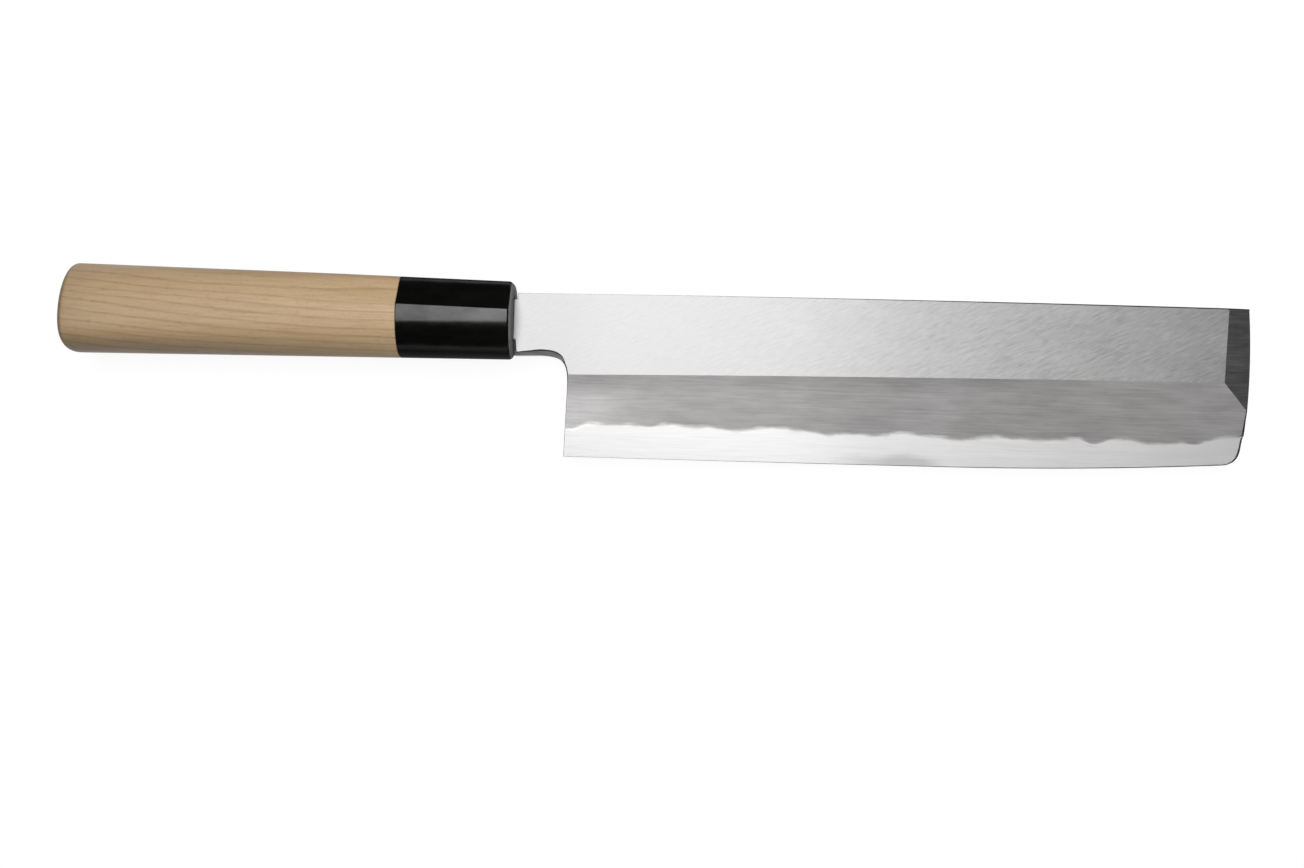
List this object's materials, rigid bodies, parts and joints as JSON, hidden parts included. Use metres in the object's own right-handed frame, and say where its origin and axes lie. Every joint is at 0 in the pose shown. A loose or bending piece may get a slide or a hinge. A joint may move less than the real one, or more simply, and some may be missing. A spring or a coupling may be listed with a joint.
{
  "type": "usuba knife",
  "caption": "Vegetable knife with a tall straight single-bevel blade of steel laid on soft iron, a black horn ferrule and a plain wooden D-section handle.",
  "frame": {"origin": "middle of the knife's box in plan, at the height of its lowest point, on the under side of the handle", "axes": "+X from the butt towards the tip along the handle's axis, +Y from the edge towards the spine, +Z out of the bevelled face"},
  "size_m": [0.3348, 0.0506, 0.0208],
  "materials": {
    "soft_iron": "satin, with fine slanting scratches on the flat and fine lengthwise lines on the bevel",
    "hard_steel": "fine ground, brighter than the iron",
    "horn": "polished black horn",
    "wood": "bare sanded wood with fine straight grain",
    "resin": "hard amber-brown resin"
  },
  "bodies": {
    "root": {"blade_iron": "soft_iron", "edge_steel": "hard_steel", "ferrule": "horn", "handle_wood": "wood", "tang_bed": "resin"}
  },
  "joints": []
}
